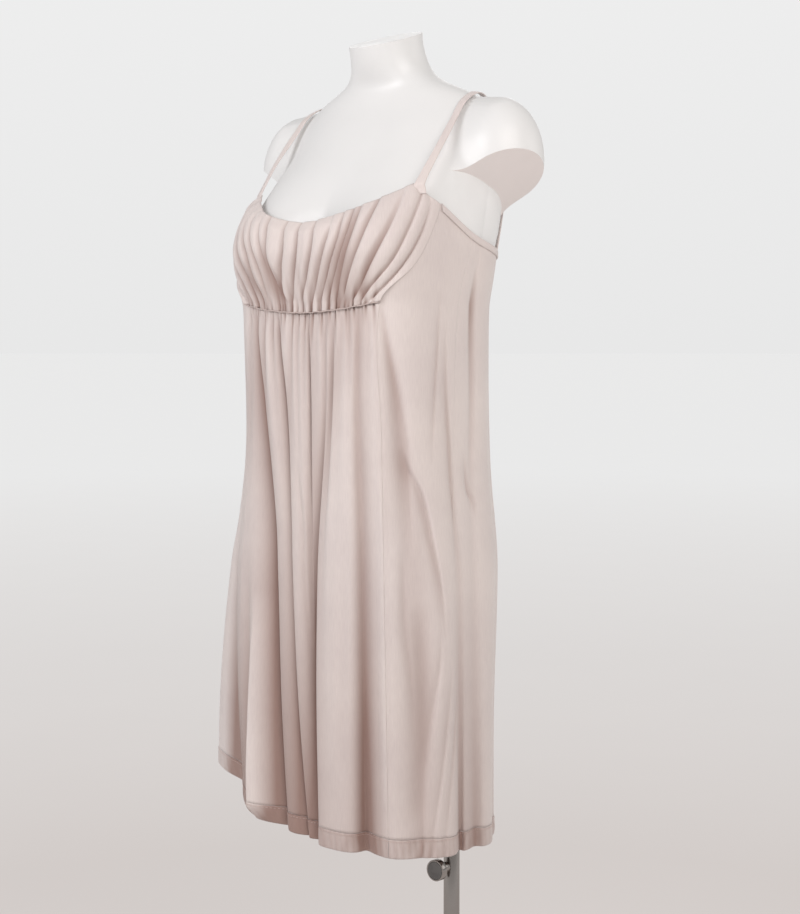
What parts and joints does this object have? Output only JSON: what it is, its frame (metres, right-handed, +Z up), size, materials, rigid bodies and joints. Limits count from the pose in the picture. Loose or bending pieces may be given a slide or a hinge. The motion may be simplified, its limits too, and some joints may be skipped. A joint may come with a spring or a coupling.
{
  "type": "pinafore dress on dress form",
  "caption": "Sleeveless empire-line jersey dress with a gathered front and thin shoulder straps, on a limbless white dress form with a telescopic pole and a round plate.",
  "frame": {"origin": "centre of the underside of the round floor plate", "axes": "+Z up along the pole, -Y the way the dress's front faces, +X the wearer's left"},
  "size_m": [0.482, 0.38, 1.542],
  "materials": {
    "jersey": "fine viscose-like jersey, softly lustrous, pale dusty pink",
    "form_shell": "smooth white lacquered shell, satin",
    "chrome": "polished",
    "knob_grey": "smooth dark grey inlay",
    "plate_metal": "satin"
  },
  "bodies": {
    "stand": {"base_plate": "plate_metal", "base_socket": "chrome", "outer_tube": "chrome", "knob_boss": "chrome"},
    "form": {"inner_tube": "chrome", "form_socket": "chrome", "torso": "form_shell", "front_bodice": "jersey", "front_skirt": "jersey", "side_panel_left": "jersey", "side_panel_right": "jersey", "back_panel": "jersey", "hem_front": "jersey", "hem_left": "jersey", "hem_right": "jersey", "hem_back": "jersey", "top_binding": "jersey", "strap_left": "jersey", "strap_right": "jersey"},
    "knob": {"knob": "chrome", "knob_face": "knob_grey"}
  },
  "joints": [
    {"name": "pole_slide", "type": "slide", "parent": "stand", "child": "form", "axis": [0, 0, 1], "range_m": [-0.12, 0.18]},
    {"name": "knob_turn", "type": "hinge", "parent": "stand", "child": "knob", "pos_m": [0.08, 0.01, 0.406], "axis": [0, -1, 0], "range_deg": [0, 360]}
  ]
}
